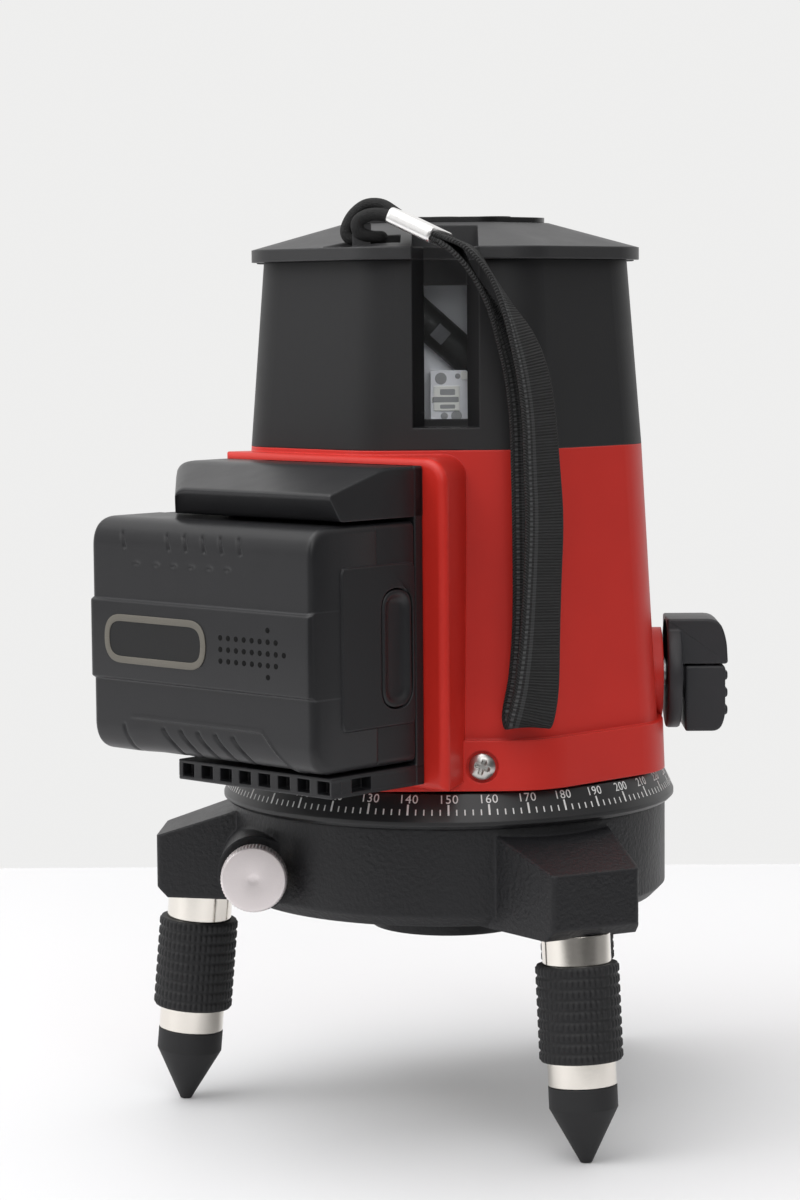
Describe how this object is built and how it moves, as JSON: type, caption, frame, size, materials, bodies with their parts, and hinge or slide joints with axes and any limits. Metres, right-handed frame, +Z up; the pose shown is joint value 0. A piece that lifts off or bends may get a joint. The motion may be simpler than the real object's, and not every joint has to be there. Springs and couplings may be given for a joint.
{
  "type": "line laser level",
  "caption": "Self-levelling line laser level: windowed head with pendulum, slide-on battery, lock knob and strap, turning on a graduated base with adjustable legs.",
  "frame": {"origin": "centre of the mouth of the tripod thread, on the underside of the base boss", "axes": "+Z up the instrument's axis, -Y towards the window that faces the viewer, +X to the lock knob"},
  "size_m": [0.1424, 0.1473, 0.2083],
  "materials": {
    "red_plastic": "satin",
    "dark_plastic": "satin",
    "lid_plastic": "satin",
    "dock_plastic": "satin",
    "battery_plastic": "satin",
    "knob_plastic": "satin",
    "base_paint": "crinkle",
    "ring_plastic": "satin",
    "nickel": "plated",
    "steel": "machined",
    "aluminium": "machined",
    "brass": "machined",
    "copper": "polished",
    "rubber": "matte",
    "window_glass": "clear",
    "lens_glass": "polished",
    "board": "satin",
    "bush_plastic": "satin",
    "cell_wrap": "gloss",
    "strap_fabric": "woven",
    "barrel_black": "anodised"
  },
  "bodies": {
    "base": {"base_casting": "base_paint", "graduated_ring": "ring_plastic", "tripod_insert": "brass", "spindle_bush": "bush_plastic", "thrust_washer": "bush_plastic", "worm_bushes": "brass", "foot_studs": "steel"},
    "wheel": {"worm_wheel": "brass", "clutch_washer": "rubber"},
    "worm": {"worm_shaft": "steel", "fine_knob": "nickel"},
    "turret": {"spindle": "steel", "spindle_screw": "steel", "chassis_plate": "aluminium", "chassis_screws": "steel", "chassis_posts": "steel", "lower_housing": "red_plastic", "body_screws": "nickel", "head_housing": "dark_plastic", "window_glasses": "window_glass", "lid": "lid_plastic", "top_panel": "dark_plastic", "main_board": "board", "gimbal_bracket": "aluminium", "magnet_carrier": "steel", "damping_magnets": "nickel", "lock_bush": "bush_plastic", "battery_dock": "dock_plastic", "dock_contacts": "brass", "strap_cord": "strap_fabric", "strap_ferrule": "nickel", "strap_webbing": "strap_fabric"},
    "gimbal": {"gimbal_ring": "aluminium"},
    "pendulum": {"pendulum_hanger": "aluminium", "pendulum_block": "aluminium", "laser_barrels": "barrel_black", "laser_lenses": "lens_glass", "pendulum_weight": "brass", "damping_plate": "copper"},
    "lock_knob": {"lock_knob": "knob_plastic", "lock_shaft": "steel"},
    "lock_lifter": {"lock_lifter": "knob_plastic"},
    "battery": {"battery_cover": "battery_plastic", "battery_case": "battery_plastic", "battery_cells": "cell_wrap", "battery_contacts": "brass"},
    "battery_latch": {"battery_latch": "knob_plastic"},
    "key_1": {"key_1": "rubber"},
    "foot_1": {"foot_tip_1": "rubber"},
    "leg_1": {"leg_barrel_1": "nickel", "leg_grip_1": "rubber"},
    "key_2": {"key_2": "rubber"},
    "foot_2": {"foot_tip_2": "rubber"},
    "leg_2": {"leg_barrel_2": "nickel", "leg_grip_2": "rubber"},
    "key_3": {"key_3": "rubber"},
    "foot_3": {"foot_tip_3": "rubber"},
    "leg_3": {"leg_barrel_3": "nickel", "leg_grip_3": "rubber"}
  },
  "joints": [
    {"name": "wheel_turn", "type": "hinge", "parent": "base", "child": "wheel", "pos_m": [0, 0, 0.0173], "axis": [0, 0, 1], "continuous": true},
    {"name": "worm_turn", "type": "hinge", "parent": "base", "child": "worm", "pos_m": [-0.043, 0, 0.0173], "axis": [0, 1, 0], "continuous": true},
    {"name": "turret_turn", "type": "hinge", "parent": "wheel", "child": "turret", "pos_m": [0, 0, 0.0214], "axis": [0, 0, 1], "continuous": true},
    {"name": "gimbal_tilt", "type": "hinge", "parent": "turret", "child": "gimbal", "pos_m": [0, 0, 0.143], "axis": [1, 0, 0], "range_deg": [-3, 3]},
    {"name": "pendulum_tilt", "type": "hinge", "parent": "gimbal", "child": "pendulum", "pos_m": [0, 0, 0.143], "axis": [0, 1, 0], "range_deg": [-3, 3]},
    {"name": "lock_turn", "type": "hinge", "parent": "turret", "child": "lock_knob", "pos_m": [0.0492, 0, 0.058], "axis": [1, 0, 0], "range_deg": [0, 90]},
    {"name": "lock_lift", "type": "slide", "parent": "turret", "child": "lock_lifter", "axis": [0, 0, 1], "range_m": [0, 0.003]},
    {"name": "battery_slide", "type": "slide", "parent": "turret", "child": "battery", "axis": [0.7431, -0.6691, 0], "range_m": [0, 0.075]},
    {"name": "latch_press", "type": "slide", "parent": "battery", "child": "battery_latch", "axis": [-0.7431, 0.6691, 0], "range_m": [0, 0.0015], "stiffness_N_per_m": 800},
    {"name": "key_1_press", "type": "slide", "parent": "turret", "child": "key_1", "axis": [0, 0, -1], "range_m": [0, 0.0006], "stiffness_N_per_m": 800},
    {"name": "key_2_press", "type": "slide", "parent": "turret", "child": "key_2", "axis": [0, 0, -1], "range_m": [0, 0.0006], "stiffness_N_per_m": 800},
    {"name": "key_3_press", "type": "slide", "parent": "turret", "child": "key_3", "axis": [0, 0, -1], "range_m": [0, 0.0006], "stiffness_N_per_m": 800},
    {"name": "foot_1_screw", "type": "slide", "parent": "base", "child": "foot_1", "axis": [0.0409, -0.077, -0.9962], "range_m": [0, 0.008]},
    {"name": "leg_1_turn", "type": "hinge", "parent": "foot_1", "child": "leg_1", "pos_m": [0.02723, -0.05121, 0.0075], "axis": [0.0409, -0.077, -0.9962], "range_deg": [0, 2304]},
    {"name": "foot_2_screw", "type": "slide", "parent": "base", "child": "foot_2", "axis": [0.0462, 0.0739, -0.9962], "range_m": [0, 0.008]},
    {"name": "leg_2_turn", "type": "hinge", "parent": "foot_2", "child": "leg_2", "pos_m": [0.03073, 0.04919, 0.0075], "axis": [0.0462, 0.0739, -0.9962], "range_deg": [0, 2304]},
    {"name": "foot_3_screw", "type": "slide", "parent": "base", "child": "foot_3", "axis": [-0.0871, 0.003, -0.9962], "range_m": [0, 0.008]},
    {"name": "leg_3_turn", "type": "hinge", "parent": "foot_3", "child": "leg_3", "pos_m": [-0.05797, 0.00202, 0.0075], "axis": [-0.0871, 0.003, -0.9962], "range_deg": [0, 2304]}
  ],
  "couplings": [
    {"joint": "worm_turn", "follows": "wheel_turn", "ratio": 52},
    {"joint": "lock_turn", "follows": "lock_lift", "rad_per_m": 523.6},
    {"joint": "leg_1_turn", "follows": "foot_1_screw", "rad_per_m": 5026.5},
    {"joint": "leg_2_turn", "follows": "foot_2_screw", "rad_per_m": 5026.5},
    {"joint": "leg_3_turn", "follows": "foot_3_screw", "rad_per_m": 5026.5}
  ]
}
